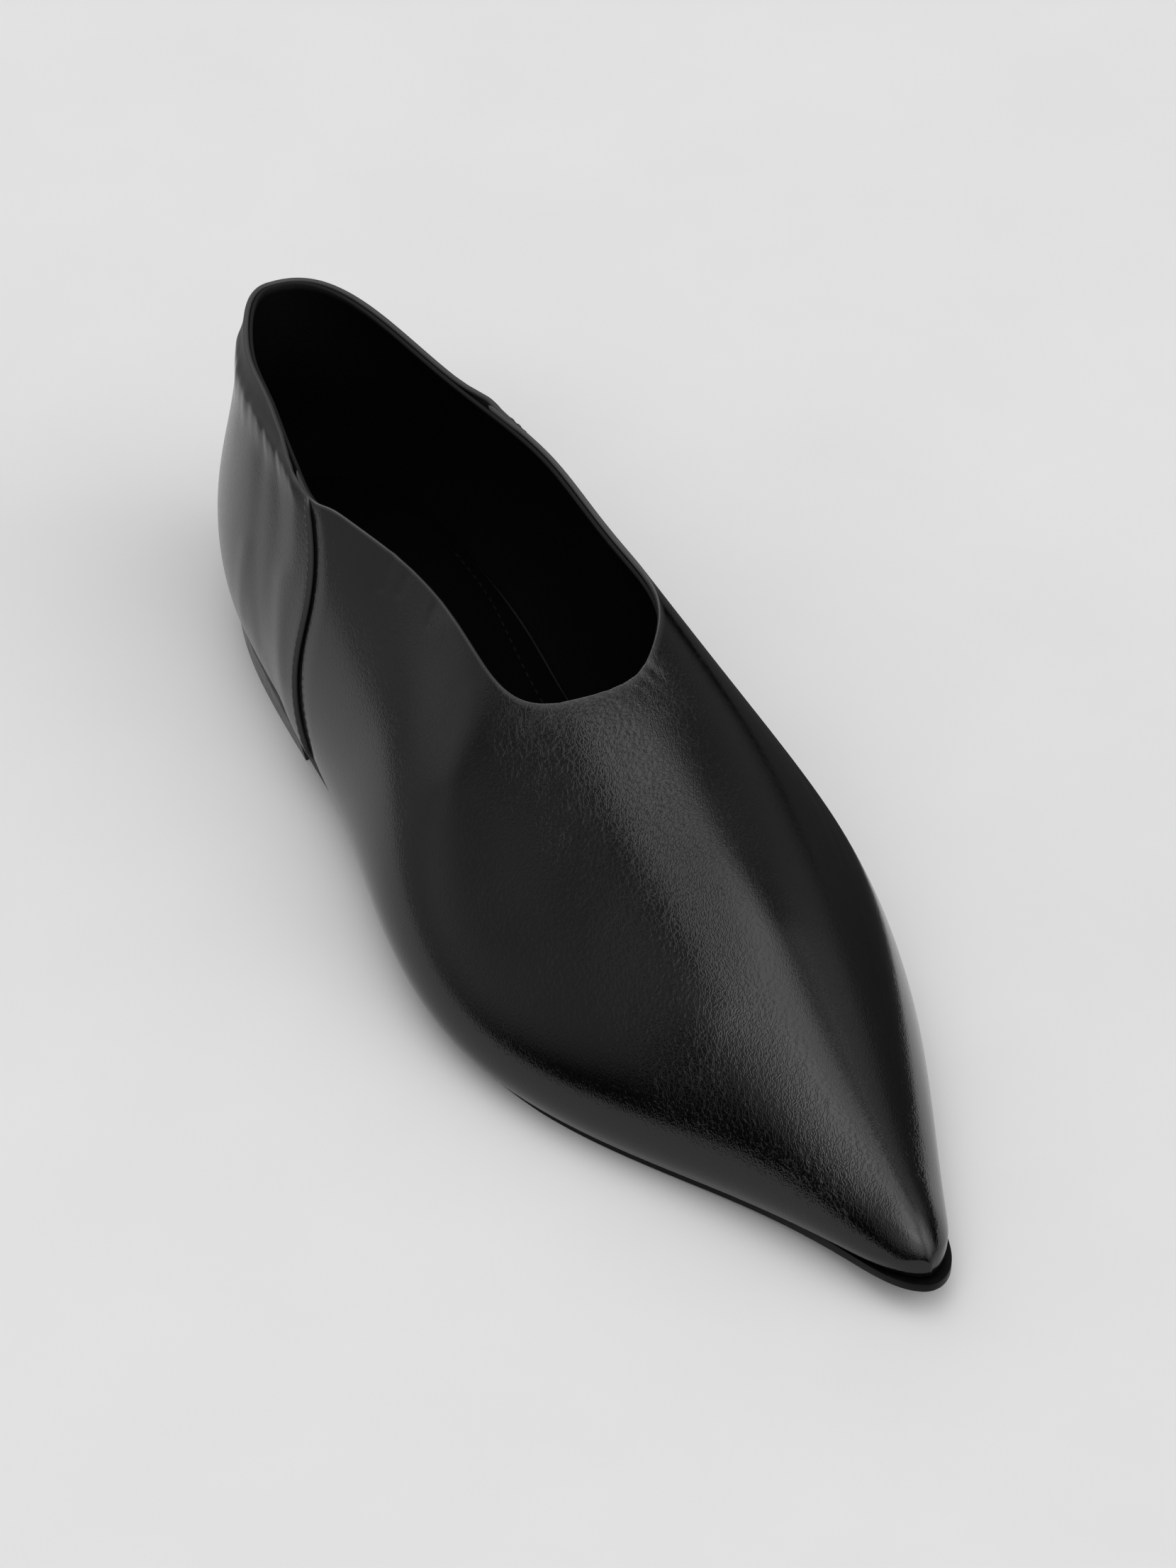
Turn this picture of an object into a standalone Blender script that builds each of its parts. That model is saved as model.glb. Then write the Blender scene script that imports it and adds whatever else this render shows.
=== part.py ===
"""Pointed ballet flat for the right foot: upper, insole, outsole and heel block.

Lengths below are in millimetres; the finished meshes are in metres, with +X to the toe,
+Y to the inner (medial) side, +Z up, and the origin at the bottom centre of the shoe.
"""
from typing import Callable, NamedTuple

import bmesh
import bpy
import numpy as np

# Driving dimensions
MM = 0.001
LENGTH = 266.0            # along the feather line, from the back of the heel to the toe
WALL = 2.0                # leather and lining together
GAP = 0.3                 # room between pieces that meet
SOLE_THICK = 3.0
INSOLE_THICK = 2.0
INSOLE_INSET = 2.8        # from the feather line to the insole's edge
INSOLE_END = 255.0        # blunt front end of the insole, from the back of the heel
HEEL_BREAST = 74.0        # front face of the heel block, from the back of the heel
HEEL_TUCK = 1.2           # heel block set in from the feather line at its top
HEEL_TAPER = 0.93         # width at the floor over width at the top
BREAST_HOLLOW = 3.0       # depth of the curve in the heel's front face
THROAT = 146.0            # front end of the opening, from the back of the heel
ORIGIN_X = 132.1          # bottom centre of the shoe, in the section table's frame
ORIGIN_Y = -3.6


class Section(NamedTuple):
    """One cross-section of the last."""

    x: float              # from the back of the heel
    seat: float           # height of the feather line above the floor
    crest: float          # height of the crest above the feather line
    crest_y: float        # crest, to the inner side of the axis
    outer: float          # feather line, to the outer side
    inner: float          # feather line, to the inner side
    outer_flare: float    # how far the outer wall leans out
    inner_flare: float
    flare_z: float        # how high the lean of the walls reaches
    outer_top: float      # breadth of the shoulder beside the crest
    inner_top: float


SECTIONS = [
    Section(0, 13.2, 69, 0, 0, 0, 0, 0, 19.5, 0, 0),
    Section(8, 13.2, 65, 0.8, 15.4, 16.2, 1.4, 0.6, 18.5, 9.2, 11.8),
    Section(20, 13.2, 61, 1.6, 22.4, 22, 2.8, 3.4, 17.5, 14, 16.8),
    Section(42, 13.2, 58, 3.6, 28.8, 23.4, 4.6, 11, 17, 17.2, 18.4),
    Section(75, 12.1, 58, 8, 32.8, 22, 3.6, 18.5, 17.4, 17.5, 18),
    Section(110, 9.2, 55.8, 11.8, 37, 19.8, 6.6, 13.5, 17, 21.6, 15),
    Section(140, 5.8, 51, 11.4, 41.8, 27.4, 12.4, 10.6, 15.4, 27.4, 18.8),
    Section(170, 3.2, 45, 8.8, 42.4, 37, 13.4, 6.6, 10.8, 21, 24.4),
    Section(200, 3.7, 38.4, 4, 34.2, 33, 9.8, 5.4, 9, 14.4, 20),
    Section(228, 4.9, 26.6, 0.6, 19.6, 21.2, 7, 5.4, 7.6, 9.2, 12),
    Section(250, 6.6, 14, 0.6, 9.8, 11.2, 3.3, 3, 4.4, 5, 4.4),
    Section(260, 7.6, 8.4, 0.2, 5.8, 6.6, 1.4, 1.4, 2.2, 2.4, 3.6),
    Section(266, 8.2, 0, 0, 0, 0, 0, 0, 0, 0, 0),
]


class Cut(NamedTuple):
    """One place on the topline: how far the opening reaches down from the crest."""

    reach: float          # share of the way from the heel to the throat
    outer: float          # share of the outer wall cut away
    inner: float          # share of the inner wall cut away


TOPLINE = [
    Cut(0, 0.428, 0.428),
    Cut(0.05, 0.412, 0.39),
    Cut(0.12, 0.41, 0.375),
    Cut(0.22, 0.398, 0.387),
    Cut(0.35, 0.446, 0.405),
    Cut(0.6, 0.407, 0.37),
    Cut(0.82, 0.345, 0.24),
    Cut(0.95, 0.275, 0.045),
    Cut(1, 0.103, -0.103),
]


class Back(NamedTuple):
    """One place on the curve of the heel's back."""

    height: float         # above the feather line
    out: float            # how far the back stands out behind the feather line


HEEL_BACK = [Back(0, 0), Back(12, 2.9), Back(30, 1.4), Back(48, 2.6), Back(70, 3.4), Back(110, 3)]


class SoleEdge(NamedTuple):
    """One place on the sole's edge."""

    x: float              # from the back of the heel
    out: float            # how far the edge stands out past the feather line


SOLE_EDGE = [
    SoleEdge(0, -0.8),
    SoleEdge(60, -0.8),
    SoleEdge(84, -0.6),
    SoleEdge(104, -1.7),
    SoleEdge(130, -1.9),
    SoleEdge(170, -1.9),
    SoleEdge(205, -1.9),
    SoleEdge(235, -1.5),
    SoleEdge(252, -0.2),
    SoleEdge(261, 0.8),
    SoleEdge(266, 1.2),
]

# Facets
UPPER_COLUMNS = 44
UPPER_ROWS = 17
SOLE_COLUMNS = 64
SOLE_ACROSS = 6
HEEL_COLUMNS = 20
HEEL_ACROSS = 6

Curve = Callable[[np.ndarray], np.ndarray]


def spline(places: list[float], values: list[float]) -> Curve:
    """Natural cubic spline through the values at the places."""
    at = np.asarray(places, float)
    val = np.asarray(values, float)
    step = np.diff(at)
    count = len(at)
    system = np.eye(count)
    pull = np.zeros(count)
    for i in range(1, count - 1):
        system[i, i - 1:i + 2] = step[i - 1], 2 * (step[i - 1] + step[i]), step[i]
        pull[i] = 6 * ((val[i + 1] - val[i]) / step[i] - (val[i] - val[i - 1]) / step[i - 1])
    bend = np.linalg.solve(system, pull)

    def curve(where: np.ndarray) -> np.ndarray:
        i = np.clip(np.searchsorted(at, where) - 1, 0, count - 2)
        a = (at[i + 1] - where) / step[i]
        b = 1 - a
        sag = ((a ** 3 - a) * bend[i] + (b ** 3 - b) * bend[i + 1]) * step[i] ** 2 / 6
        return a * val[i] + b * val[i + 1] + sag

    return curve


def turn_of(x: np.ndarray) -> np.ndarray:
    """Turn along the shoe, 0 at the heel and pi at the toe, for a place x."""
    return np.arccos(np.clip(1 - 2 * np.asarray(x, float) / LENGTH, -1, 1))


def x_of(turn: np.ndarray) -> np.ndarray:
    """Place x for a turn along the shoe."""
    return LENGTH / 2 * (1 - np.cos(turn))


def column(name: str, heel: int, toe: int) -> Curve:
    """Smooth curve through one column of the sections, mirrored past the heel and the toe.

    heel and toe are 1 where the value runs level into the end, -1 where it runs to nothing.
    """
    turns = turn_of([row.x for row in SECTIONS])
    values = np.array([getattr(row, name) for row in SECTIONS])
    before = -turns[:0:-1]
    after = 2 * np.pi - turns[-2::-1]
    places = np.concatenate([before, turns, after])
    levels = np.concatenate([heel * values[:0:-1], values, toe * values[-2::-1]])
    return spline(places, levels)


class Last:
    """The smooth body of the shoe, from the feather line over the crest."""

    def __init__(self) -> None:
        level = {"seat": (1, 1), "crest": (1, -1), "flare_z": (1, -1)}
        self.of = {name: column(name, *level.get(name, (-1, -1))) for name in Section._fields[1:]}
        self.back = spline([row.height for row in HEEL_BACK], [row.out for row in HEEL_BACK])
        there = np.arccos(1 - 2 * np.array([row.reach for row in TOPLINE]))
        outer = np.array([-row.outer for row in TOPLINE])
        inner = np.array([row.inner for row in TOPLINE])
        around = np.concatenate([-there[1:2], there, 2 * np.pi - there[-2::-1], 2 * np.pi + there[1:2]])
        shares = np.concatenate([outer[1:2], outer, inner[-2::-1], inner[1:2]])
        self.share = spline(around, shares)

    def point(self, turn: np.ndarray, across: np.ndarray) -> np.ndarray:
        """Points on the body; across runs from -1 (outer feather line) over 0 (crest) to 1."""
        of = {name: curve(turn) for name, curve in self.of.items()}
        side = np.where(across < 0, -1.0, 1.0)
        t = 1 - np.abs(across)
        foot = np.where(across < 0, of["outer"], of["inner"])
        flare = np.where(across < 0, of["outer_flare"], of["inner_flare"])
        top = np.where(across < 0, of["outer_top"], of["inner_top"])
        b0 = (1 - t) ** 3
        b1 = 3 * t * (1 - t) ** 2
        b2 = 3 * t * t * (1 - t)
        b3 = t ** 3
        y = side * (b0 * foot + b1 * (foot + flare) + b2 * top) + (b2 + b3) * of["crest_y"]
        rise = b1 * of["flare_z"] + (b2 + b3) * of["crest"]
        x = x_of(turn) - np.cos(turn / 2) ** 4 * self.back(rise)
        return np.stack([x, y, of["seat"] + rise], -1)

    def topline(self, around: np.ndarray) -> tuple[np.ndarray, np.ndarray]:
        """Turn and across of the topline; around runs 0..2 pi from the heel, outer side first."""
        return turn_of(THROAT * (1 - np.cos(around)) / 2), self.share(around)

    def wall(self, u: np.ndarray, v: np.ndarray, side: int) -> np.ndarray:
        """Points on one wall: u from the heel (0) to the toe (1), v from the sole to the topline.

        The wall is blended between its four edges on a flat map of the body, where the toe is
        the centre and the feather line is a straight line through it.
        """
        def flat(turn: np.ndarray, across: np.ndarray) -> np.ndarray:
            angle = np.pi / 2 * (1 + across)
            return (np.pi - turn)[..., None] * np.stack([np.cos(angle), np.sin(angle)], -1)

        around = np.pi * u if side < 0 else 2 * np.pi - np.pi * u
        one = np.ones_like(u)
        feather = flat(np.pi * u, side * one)
        top = flat(*self.topline(around))
        cut = float(self.share(np.array(0.0)))
        heel = flat(0 * one, side * (1 - v * (1 + cut)))
        throat = flat(*self.topline(np.pi * one))
        low_heel = flat(0 * one, side * one)
        top_heel = flat(0 * one, -side * cut * one)
        u = u[..., None]
        v = v[..., None]
        ruled = (1 - v) * feather + v * top + (1 - u) * heel + u * v * throat
        map_point = ruled - (1 - u) * (1 - v) * low_heel - (1 - u) * v * top_heel - u * v * throat
        radius = np.linalg.norm(map_point, axis=-1)
        angle = np.arctan2(map_point[..., 1], map_point[..., 0])
        return self.point(np.pi - radius, np.clip(angle / (np.pi / 2) - 1, -1, 1))

    def outline(self, turn: np.ndarray, side: int, grow: np.ndarray) -> np.ndarray:
        """Plan outline of the feather line on one side, moved outward by grow."""
        name = "outer" if side < 0 else "inner"
        nudge = 1e-4
        along_x = LENGTH / 2 * np.sin(turn)
        along_y = side * (self.of[name](turn + nudge) - self.of[name](turn - nudge)) / (2 * nudge)
        size = np.hypot(along_x, along_y)
        x = x_of(turn) - side * grow * along_y / size
        y = side * self.of[name](turn) + side * grow * along_x / size
        return np.stack([x, y], -1)


def material(name: str, colour: tuple[float, float, float], rough: float) -> bpy.types.Material:
    """Principled material with a colour and a roughness."""
    made = bpy.data.materials.new(name)
    made.use_nodes = True
    shader = made.node_tree.nodes["Principled BSDF"]
    shader.inputs["Base Color"].default_value = (*colour, 1)
    shader.inputs["Roughness"].default_value = rough
    shader.inputs["Metallic"].default_value = 0
    return made


def grid(bm: bmesh.types.BMesh, columns: int, rows: int) -> tuple[list, np.ndarray, np.ndarray]:
    """Flat grid of quads; returns its vertices and their shares (0..1) along and across."""
    made = bmesh.ops.create_grid(bm, x_segments=columns, y_segments=rows, size=0.5)["verts"]
    share = np.array([vert.co[:2] for vert in made]) + 0.5
    return made, share[:, 0], share[:, 1]


def place(verts: list, points: np.ndarray) -> None:
    """Move vertices to points given in millimetres in the section table's frame."""
    shift = np.array([ORIGIN_X, ORIGIN_Y, 0])
    for vert, point in zip(verts, (points - shift) * MM):
        vert.co = point


def tidy(bm: bmesh.types.BMesh) -> None:
    """Merge doubles and turn the faces outward."""
    bmesh.ops.remove_doubles(bm, verts=bm.verts, dist=0.00002)
    bmesh.ops.dissolve_degenerate(bm, edges=bm.edges, dist=0.00001)
    bmesh.ops.recalc_face_normals(bm, faces=bm.faces)


def finish(bm: bmesh.types.BMesh, name: str, dress: bpy.types.Material) -> bpy.types.Object:
    """Object from a mesh, tidied and shaded smooth."""
    tidy(bm)
    mesh = bpy.data.meshes.new(name)
    bm.to_mesh(mesh)
    bm.free()
    mesh.shade_smooth()
    mesh.materials.append(dress)
    made = bpy.data.objects.new(name, mesh)
    bpy.context.scene.collection.objects.link(made)
    return made


def build_upper(last: Last) -> bpy.types.Object:
    """Upper: one hollow wall, open at the collar and underneath."""
    bm = bmesh.new()
    for side in (-1, 1):
        verts, u, v = grid(bm, UPPER_COLUMNS, UPPER_ROWS)
        place(verts, last.wall(u, v, side))
    tidy(bm)
    bmesh.ops.solidify(bm, geom=bm.faces[:], thickness=WALL * MM)
    for vert in bm.verts:
        along = np.clip(vert.co.x / MM + ORIGIN_X, 0, LENGTH)
        vert.co.z = max(vert.co.z, float(last.of["seat"](turn_of(along))) * MM)
    return finish(bm, "upper", material("black_leather", (0.012, 0.012, 0.013), 0.4))


def plate(bm: bmesh.types.BMesh, last: Last, end: float, grow: Curve, low: float, thick: float) -> None:
    """Plate that follows the feather line to a front end: low is its underside above that line."""
    verts, u, v = grid(bm, SOLE_COLUMNS, SOLE_ACROSS)
    turn = u * turn_of(end)
    outer = last.outline(turn, -1, grow(turn))
    inner = last.outline(turn, 1, grow(turn))
    plan = outer + v[:, None] * (inner - outer)
    height = last.of["seat"](turn_of(np.clip(plan[:, 0], 0, LENGTH))) + low + thick
    place(verts, np.column_stack([plan, height]))
    raised = bmesh.ops.extrude_face_region(bm, geom=bm.faces[:])["geom"]
    for vert in (item for item in raised if isinstance(item, bmesh.types.BMVert)):
        vert.co.z = max(vert.co.z - thick * MM, 0)


def build_outsole(last: Last) -> bpy.types.Object:
    """Outsole: thin, tucked in at the sides, lipped at the toe, flat under the ball."""
    bm = bmesh.new()
    edge = spline([row.x for row in SOLE_EDGE], [row.out for row in SOLE_EDGE])
    plate(bm, last, LENGTH, lambda turn: edge(x_of(turn)), -GAP - SOLE_THICK, SOLE_THICK)
    return finish(bm, "outsole", material("black_sole_leather", (0.01, 0.01, 0.01), 0.5))


def build_insole(last: Last) -> bpy.types.Object:
    """Insole: lies on the outsole inside the upper."""
    bm = bmesh.new()
    plate(bm, last, INSOLE_END, lambda turn: 0 * turn - INSOLE_INSET, 0.0, INSOLE_THICK)
    return finish(bm, "insole", material("black_sock_leather", (0.014, 0.014, 0.014), 0.55))


def build_heel(last: Last) -> bpy.types.Object:
    """Heel block: low, tapered to the floor, hollowed a little at its front face."""
    bm = bmesh.new()
    verts, u, v = grid(bm, HEEL_COLUMNS, HEEL_ACROSS)
    turn = u * turn_of(HEEL_BREAST)
    outer = last.outline(turn, -1, 0 * turn - HEEL_TUCK)
    inner = last.outline(turn, 1, 0 * turn - HEEL_TUCK)
    plan = outer + v[:, None] * (inner - outer)
    plan[:, 0] -= BREAST_HOLLOW * 4 * v * (1 - v) * u ** 2
    height = last.of["seat"](turn_of(np.clip(plan[:, 0], 0, LENGTH))) - SOLE_THICK - 2 * GAP
    place(verts, np.column_stack([plan, height]))
    lowered = bmesh.ops.extrude_face_region(bm, geom=bm.faces[:])["geom"]
    centre = (plan[:, 1].min() + plan[:, 1].max()) / 2 - ORIGIN_Y
    for vert in (item for item in lowered if isinstance(item, bmesh.types.BMVert)):
        vert.co.y = centre * MM + (vert.co.y - centre * MM) * HEEL_TAPER
        vert.co.z = 0
    return finish(bm, "heel_block", material("black_heel", (0.016, 0.016, 0.017), 0.35))


def main() -> None:
    """Build the shoe."""
    for old in list(bpy.data.objects):
        bpy.data.objects.remove(old, do_unlink=True)
    last = Last()
    build_upper(last)
    build_insole(last)
    build_outsole(last)
    build_heel(last)


main()
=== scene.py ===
"""Pointed ballet flat for the right foot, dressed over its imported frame.

Sizes are in millimetres in the last's own frame: x from the back of the heel to the toe, y to the
inner side, z up from the floor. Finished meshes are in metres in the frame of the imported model.
"""
from __future__ import annotations

import logging
import math
from dataclasses import dataclass, field
from enum import Enum
from typing import Any, Callable, NamedTuple

import bmesh
import bpy
import numpy as np
from mathutils import Matrix, Vector

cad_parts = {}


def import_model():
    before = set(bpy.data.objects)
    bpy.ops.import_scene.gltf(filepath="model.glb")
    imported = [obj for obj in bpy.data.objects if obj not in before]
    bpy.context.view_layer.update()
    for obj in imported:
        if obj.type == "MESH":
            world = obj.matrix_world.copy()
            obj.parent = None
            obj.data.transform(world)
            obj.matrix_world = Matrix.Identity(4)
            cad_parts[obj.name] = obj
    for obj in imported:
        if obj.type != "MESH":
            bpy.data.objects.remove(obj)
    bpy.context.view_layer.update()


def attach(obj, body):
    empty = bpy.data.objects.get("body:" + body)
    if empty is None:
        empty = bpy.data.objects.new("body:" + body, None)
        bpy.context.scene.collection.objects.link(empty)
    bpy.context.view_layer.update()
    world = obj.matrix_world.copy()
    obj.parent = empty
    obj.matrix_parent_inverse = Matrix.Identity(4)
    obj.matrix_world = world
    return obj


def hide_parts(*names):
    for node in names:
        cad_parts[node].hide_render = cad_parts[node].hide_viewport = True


LOG = logging.getLogger("ballet_flat")
MM = 0.001
BODY = "root"
WAVE_BAND = 0.314         # width of one band of the wave texture at scale 1
PROBE = 0.01              # share of a wall over which its height is measured at each end

# The last, as in the part's own sizes
LENGTH = 266.0
THROAT = 146.0
ORIGIN = np.array([132.1, -3.6, 0.0])

Array = np.ndarray
Curve = Callable[[Array], Array]


class Side(Enum):
    """The two walls of the shoe."""

    OUTER = -1
    INNER = 1


class Section(NamedTuple):
    """One cross-section of the last."""

    x: float
    seat: float
    crest: float
    crest_y: float
    outer: float
    inner: float
    outer_flare: float
    inner_flare: float
    flare_z: float
    outer_top: float
    inner_top: float


SECTIONS = [
    Section(0, 13.2, 69, 0, 0, 0, 0, 0, 19.5, 0, 0),
    Section(8, 13.2, 65, 0.8, 15.4, 16.2, 1.4, 0.6, 18.5, 9.2, 11.8),
    Section(20, 13.2, 61, 1.6, 22.4, 22, 2.8, 3.4, 17.5, 14, 16.8),
    Section(42, 13.2, 58, 3.6, 28.8, 23.4, 4.6, 11, 17, 17.2, 18.4),
    Section(75, 12.1, 58, 8, 32.8, 22, 3.6, 18.5, 17.4, 17.5, 18),
    Section(110, 9.2, 55.8, 11.8, 37, 19.8, 6.6, 13.5, 17, 21.6, 15),
    Section(140, 5.8, 51, 11.4, 41.8, 27.4, 12.4, 10.6, 15.4, 27.4, 18.8),
    Section(170, 3.2, 45, 8.8, 42.4, 37, 13.4, 6.6, 10.8, 21, 24.4),
    Section(200, 3.7, 38.4, 4, 34.2, 33, 9.8, 5.4, 9, 14.4, 20),
    Section(228, 4.9, 26.6, 0.6, 19.6, 21.2, 7, 5.4, 7.6, 9.2, 12),
    Section(250, 6.6, 14, 0.6, 9.8, 11.2, 3.3, 3, 4.4, 5, 4.4),
    Section(260, 7.6, 8.4, 0.2, 5.8, 6.6, 1.4, 1.4, 2.2, 2.4, 3.6),
    Section(266, 8.2, 0, 0, 0, 0, 0, 0, 0, 0, 0),
]


class Cut(NamedTuple):
    """One place on the topline: shares of the two walls that the opening cuts away."""

    reach: float
    outer: float
    inner: float


TOPLINE = [
    Cut(0, 0.428, 0.428),
    Cut(0.05, 0.412, 0.39),
    Cut(0.12, 0.41, 0.375),
    Cut(0.22, 0.398, 0.387),
    Cut(0.35, 0.446, 0.405),
    Cut(0.6, 0.407, 0.37),
    Cut(0.82, 0.345, 0.24),
    Cut(0.95, 0.275, 0.045),
    Cut(1, 0.103, -0.103),
]


class Back(NamedTuple):
    """One place on the curve of the heel's back: height over the feather line, and how far out."""

    height: float
    out: float


HEEL_BACK = [Back(0, 0), Back(12, 2.9), Back(30, 1.4), Back(48, 2.6), Back(70, 3.4), Back(110, 3)]


class Seam(NamedTuple):
    """One place on the side seams: share up the wall, and share along it from heel to toe."""

    up: float
    outer: float
    inner: float


SIDE_SEAM = [
    Seam(0, 0.388, 0.382),
    Seam(0.12, 0.389, 0.388),
    Seam(0.28, 0.396, 0.396),
    Seam(0.45, 0.411, 0.404),
    Seam(0.65, 0.43, 0.418),
    Seam(0.83, 0.437, 0.429),
    Seam(1, 0.43, 0.438),
]


class SoleEdge(NamedTuple):
    """One place on the sole's edge: how far it stands out from the feather line."""

    x: float
    out: float


SOLE_EDGE = [
    SoleEdge(0, -0.8),
    SoleEdge(60, -0.8),
    SoleEdge(84, -0.6),
    SoleEdge(104, -1.7),
    SoleEdge(130, -1.9),
    SoleEdge(170, -1.9),
    SoleEdge(205, -1.9),
    SoleEdge(235, -1.5),
    SoleEdge(252, -0.2),
    SoleEdge(261, 0.8),
    SoleEdge(266, 1.2),
]


def spline(places: Array, values: Array) -> Curve:
    """Natural cubic spline.

    Args:
        places: where the values stand, rising.
        values: the values there.

    Returns:
        A function from places to values.
    """
    at = np.asarray(places, float)
    val = np.asarray(values, float)
    step = np.diff(at)
    count = len(at)
    system = np.eye(count)
    pull = np.zeros(count)
    for i in range(1, count - 1):
        system[i, i - 1:i + 2] = step[i - 1], 2 * (step[i - 1] + step[i]), step[i]
        pull[i] = 6 * ((val[i + 1] - val[i]) / step[i] - (val[i] - val[i - 1]) / step[i - 1])
    bend = np.linalg.solve(system, pull)

    def curve(where: Array) -> Array:
        """Value of the spline at each place."""
        i = np.clip(np.searchsorted(at, where) - 1, 0, count - 2)
        a = (at[i + 1] - where) / step[i]
        b = 1 - a
        sag = ((a ** 3 - a) * bend[i] + (b ** 3 - b) * bend[i + 1]) * step[i] ** 2 / 6
        return a * val[i] + b * val[i + 1] + sag

    return curve


def turn_of(x: Array) -> Array:
    """Turn along the shoe, 0 at the heel and pi at the toe, for a place x."""
    return np.arccos(np.clip(1 - 2 * np.asarray(x, float) / LENGTH, -1, 1))


def x_of(turn: Array) -> Array:
    """Place x for a turn along the shoe."""
    return LENGTH / 2 * (1 - np.cos(turn))


def ease(share: Array) -> Array:
    """Smooth step from 0 to 1 for a share from 0 to 1."""
    share = np.clip(share, 0, 1)
    return share * share * (3 - 2 * share)


def hump(distance: Array, width: Array | float) -> Array:
    """Soft bell, 1 at distance 0 and close to nothing past twice the width."""
    return np.exp(-(distance / width) ** 2)


class Last:
    """The smooth body of the shoe, from the feather line over the crest."""

    def __init__(self) -> None:
        """Make the curves that run through the section and topline tables."""
        level = {"seat": (1, 1), "crest": (1, -1), "flare_z": (1, -1)}
        self.of = {name: self._column(name, *level.get(name, (-1, -1))) for name in Section._fields[1:]}
        self.back = spline([row.height for row in HEEL_BACK], [row.out for row in HEEL_BACK])
        there = np.arccos(1 - 2 * np.array([row.reach for row in TOPLINE]))
        outer = np.array([-row.outer for row in TOPLINE])
        inner = np.array([row.inner for row in TOPLINE])
        around = np.concatenate([-there[1:2], there, 2 * np.pi - there[-2::-1], 2 * np.pi + there[1:2]])
        shares = np.concatenate([outer[1:2], outer, inner[-2::-1], inner[1:2]])
        self.share = spline(around, shares)
        ups = [row.up for row in SIDE_SEAM]
        self.seam = {
            Side.OUTER: spline(ups, [row.outer for row in SIDE_SEAM]),
            Side.INNER: spline(ups, [row.inner for row in SIDE_SEAM]),
        }

    @staticmethod
    def _column(name: str, heel: int, toe: int) -> Curve:
        """Curve through one column of the sections, mirrored past the heel and the toe.

        Args:
            name: the column.
            heel: 1 where the value runs level into the heel, -1 where it runs to nothing.
            toe: the same at the toe.

        Returns:
            The value over the turn along the shoe.
        """
        turns = turn_of([row.x for row in SECTIONS])
        values = np.array([getattr(row, name) for row in SECTIONS])
        places = np.concatenate([-turns[:0:-1], turns, 2 * np.pi - turns[-2::-1]])
        return spline(places, np.concatenate([heel * values[:0:-1], values, toe * values[-2::-1]]))

    def point(self, turn: Array, across: Array) -> Array:
        """Points on the body.

        Args:
            turn: turn along the shoe.
            across: from -1 (outer feather line) over 0 (crest) to 1.

        Returns:
            The points in millimetres.
        """
        of = {name: curve(turn) for name, curve in self.of.items()}
        side = np.where(across < 0, -1.0, 1.0)
        t = 1 - np.abs(across)
        foot = np.where(across < 0, of["outer"], of["inner"])
        flare = np.where(across < 0, of["outer_flare"], of["inner_flare"])
        top = of["outer_top"] + (of["inner_top"] - of["outer_top"]) * ease((across + 0.6) / 1.2)
        b0 = (1 - t) ** 3
        b1 = 3 * t * (1 - t) ** 2
        b2 = 3 * t * t * (1 - t)
        b3 = t ** 3
        y = side * (b0 * foot + b1 * (foot + flare) + b2 * top) + (b2 + b3) * of["crest_y"]
        rise = b1 * of["flare_z"] + (b2 + b3) * of["crest"]
        x = x_of(turn) - np.cos(turn / 2) ** 4 * self.back(rise)
        return np.stack([x, y, of["seat"] + rise], -1)

    def topline(self, around: Array) -> tuple[Array, Array]:
        """Turn and across of the topline; around runs 0..2 pi from the heel, outer side first."""
        return turn_of(THROAT * (1 - np.cos(around)) / 2), self.share(around)

    def _half(self, u: Array, v: Array, side: int) -> Array:
        """Points on one wall, blended between its four edges on a flat map of the body.

        Args:
            u: from the heel (0) to the toe (1).
            v: from the feather line (0) to the topline (1).
            side: -1 for the outer wall, 1 for the inner.

        Returns:
            The points in millimetres.
        """
        def flat(turn: Array, across: Array) -> Array:
            """Point of the flat map, where the toe is the centre."""
            angle = np.pi / 2 * (1 + across)
            return (np.pi - turn)[..., None] * np.stack([np.cos(angle), np.sin(angle)], -1)

        around = np.pi * u if side < 0 else 2 * np.pi - np.pi * u
        one = np.ones_like(u)
        feather = flat(np.pi * u, side * one)
        top = flat(*self.topline(around))
        cut = float(self.share(np.array(0.0)))
        heel = flat(0 * one, side * (1 - v * (1 + cut)))
        throat = flat(*self.topline(np.pi * one))
        low_heel = flat(0 * one, side * one)
        top_heel = flat(0 * one, -side * cut * one)
        u = u[..., None]
        v = v[..., None]
        ruled = (1 - v) * feather + v * top + (1 - u) * heel + u * v * throat
        spot = ruled - (1 - u) * (1 - v) * low_heel - (1 - u) * v * top_heel - u * v * throat
        radius = np.linalg.norm(spot, axis=-1)
        angle = np.arctan2(spot[..., 1], spot[..., 0])
        return self.point(np.pi - radius, np.clip(angle / (np.pi / 2) - 1, -1, 1))

    def wall(self, u: Array, v: Array, side: Array) -> Array:
        """Points on the walls.

        Args:
            u: from the heel (0) to the toe (1).
            v: from the feather line (0) to the topline (1).
            side: below zero on the outer wall, above on the inner.

        Returns:
            The points in millimetres.
        """
        outer = self._half(u, v, -1)
        inner = self._half(u, v, 1)
        return np.where((side < 0)[..., None], outer, inner)

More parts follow.
